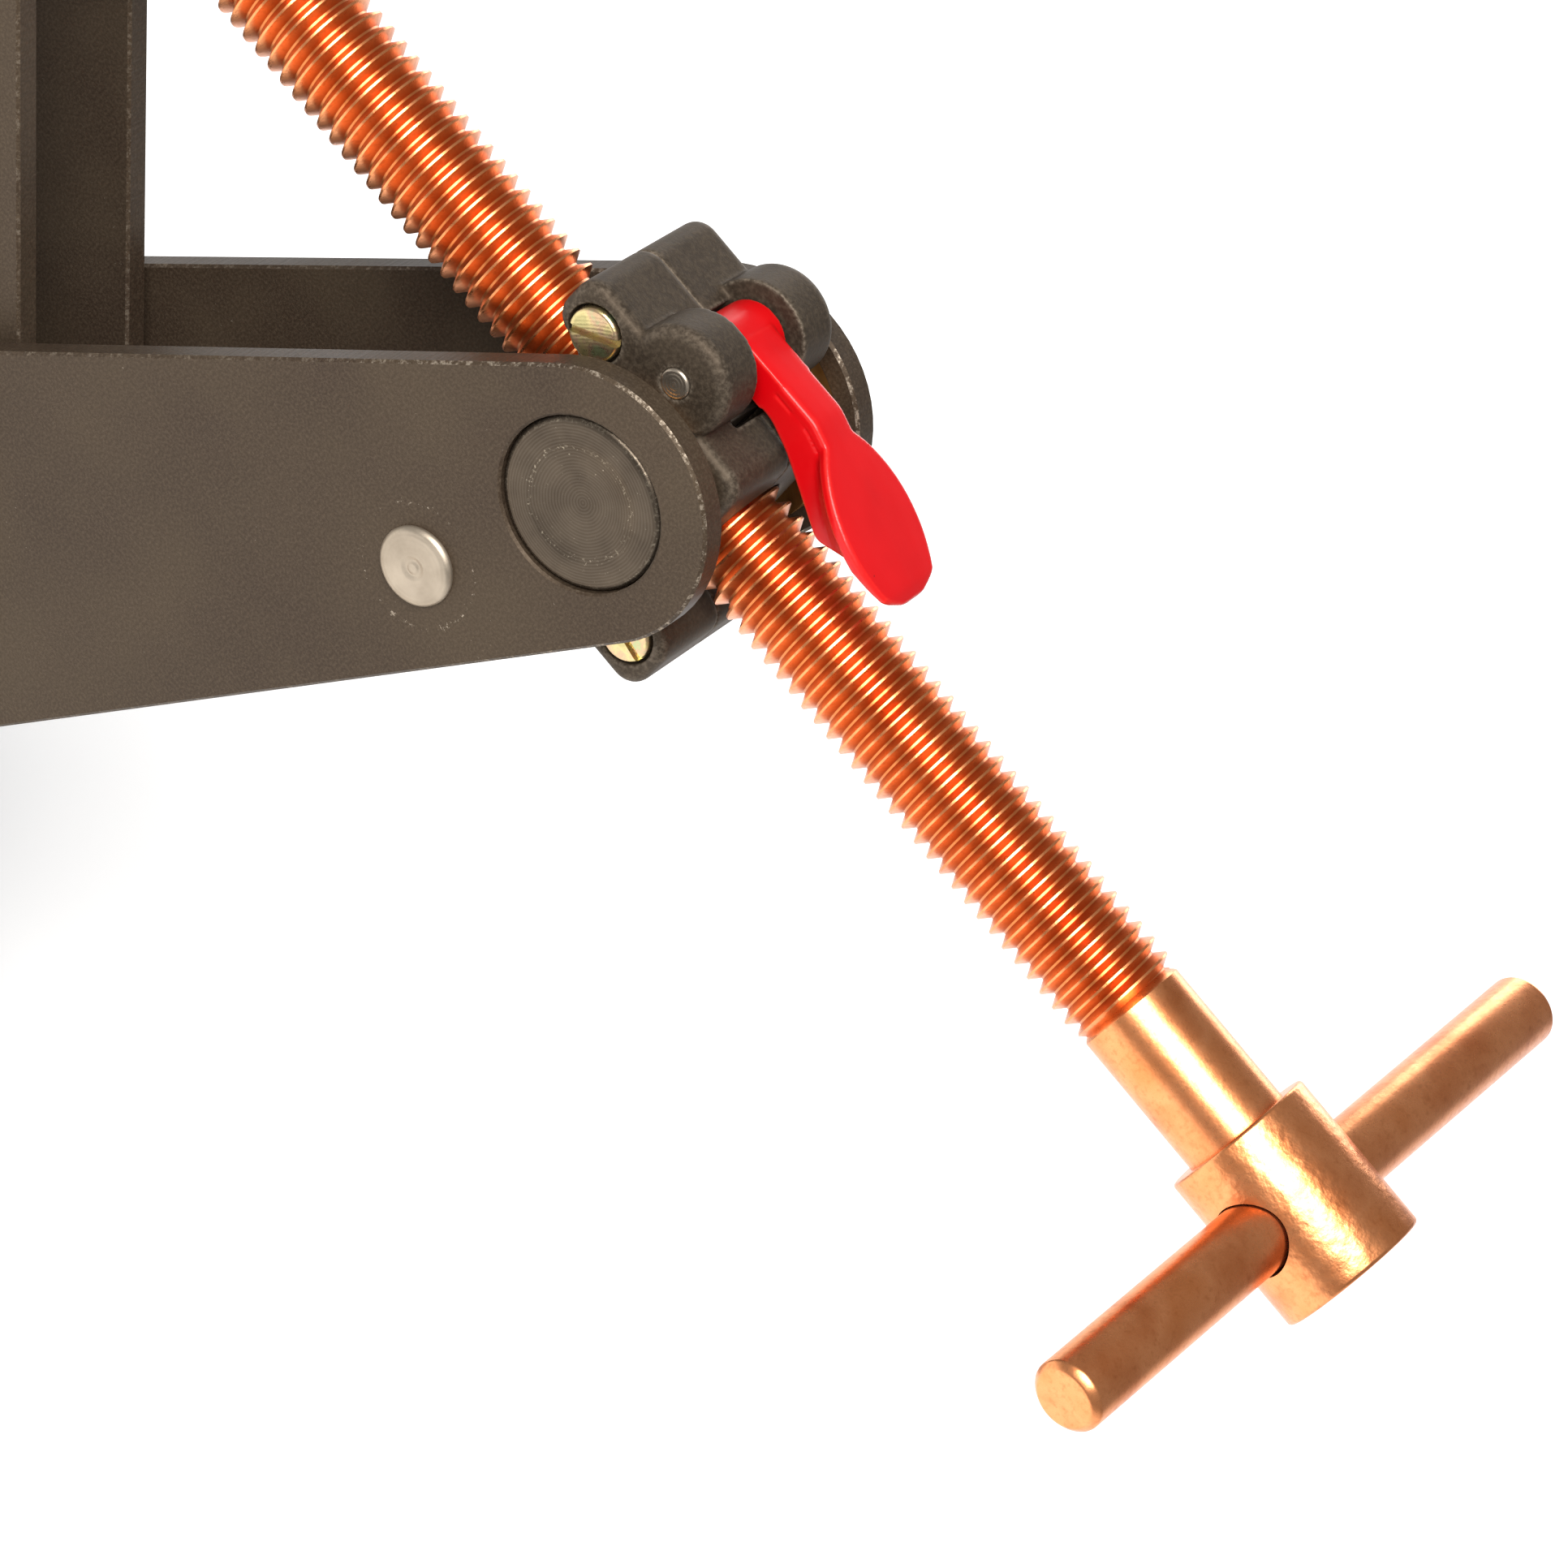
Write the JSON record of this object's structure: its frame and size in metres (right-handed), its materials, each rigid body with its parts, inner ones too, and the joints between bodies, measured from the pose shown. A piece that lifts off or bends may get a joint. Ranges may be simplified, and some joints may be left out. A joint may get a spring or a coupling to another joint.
{
  "type": "beam clamp",
  "caption": "Scissor beam clamp with twin-plate arms, hooked jaws and a copper-plated screw spindle in a quick-release nut housing with a red lever.",
  "frame": {"origin": "centre of the main pivot, on the bush axis, midway between the front and rear plates", "axes": "+Y along the pivot from front to rear, +X along the spindle towards its cross bar, +Z from the jaws up to the spindle"},
  "size_m": [0.3642, 0.1302, 0.3157],
  "materials": {
    "black_plate": "satin black-brown coated steel plate",
    "dark_steel": "turned and blackened steel",
    "bare_steel": "plain steel",
    "zinc_steel": "bright zinc-plated steel",
    "yellow_zinc": "yellow zinc-plated steel",
    "bronze": "plain bronze",
    "cast_black": "matte blackened casting",
    "red_coating": "glossy red coating",
    "copper_plate": "copper-plated steel"
  },
  "bodies": {
    "outer_arm": {"outer_plate_front": "black_plate", "outer_plate_rear": "black_plate", "outer_spacer_tube": "dark_steel", "outer_spacer_rivet": "zinc_steel", "outer_jaw_block": "black_plate", "outer_jaw_rivets": "zinc_steel", "pivot_bush": "zinc_steel", "pivot_circlips": "dark_steel", "pivot_washers": "zinc_steel", "pivot_gap_washers": "bronze"},
    "inner_arm": {"inner_plate_front": "black_plate", "inner_plate_rear": "black_plate", "inner_spacer_tube": "dark_steel", "inner_spacer_rivet": "zinc_steel", "inner_jaw_block": "black_plate", "inner_jaw_rivets": "zinc_steel", "inner_pivot_spacer": "dark_steel"},
    "nut_housing": {"housing_front": "cast_black", "housing_rear": "cast_black", "housing_screws": "yellow_zinc", "lever_pin": "bare_steel", "trunnion_front": "dark_steel", "trunnion_rear": "dark_steel", "thrust_washers": "bronze", "nut_springs": "bare_steel"},
    "release_lever": {"release_lever": "red_coating"},
    "half_nut": {"half_nut": "bare_steel"},
    "end_block": {"end_block": "dark_steel"},
    "spindle": {"spindle": "copper_plate", "cross_bar": "copper_plate", "spindle_nut": "zinc_steel", "spindle_washer": "zinc_steel", "split_pin": "zinc_steel"}
  },
  "joints": [
    {"name": "main_pivot", "type": "hinge", "parent": "outer_arm", "child": "inner_arm", "pos_m": [0, 0, 0], "axis": [0, 1, 0], "range_deg": [-28, 18]},
    {"name": "housing_trunnion", "type": "hinge", "parent": "outer_arm", "child": "nut_housing", "pos_m": [0.08489, 0, 0.12367], "axis": [0, 1, 0], "range_deg": [-14, 9]},
    {"name": "end_swivel", "type": "hinge", "parent": "inner_arm", "child": "end_block", "pos_m": [-0.08489, 0, 0.12367], "axis": [0, 1, 0], "range_deg": [-9, 14]},
    {"name": "spindle_spin", "type": "hinge", "parent": "end_block", "child": "spindle", "pos_m": [-0.08489, 0, 0.12367], "axis": [1, 0, 0], "continuous": true},
    {"name": "lever_hinge", "type": "hinge", "parent": "nut_housing", "child": "release_lever", "pos_m": [0.08089, 0, 0.14567], "axis": [0, -1, 0], "range_deg": [0, 80]},
    {"name": "half_nut_slide", "type": "slide", "parent": "nut_housing", "child": "half_nut", "axis": [0, 0, 1], "range_m": [0, 0.002], "deforming": ["nut_springs"]}
  ],
  "couplings": [
    {"joint": "housing_trunnion", "follows": "main_pivot", "ratio": 0.5},
    {"joint": "end_swivel", "follows": "main_pivot", "ratio": -0.5},
    {"joint": "half_nut_slide", "follows": "lever_hinge", "m_per_rad": 0.0014324}
  ]
}
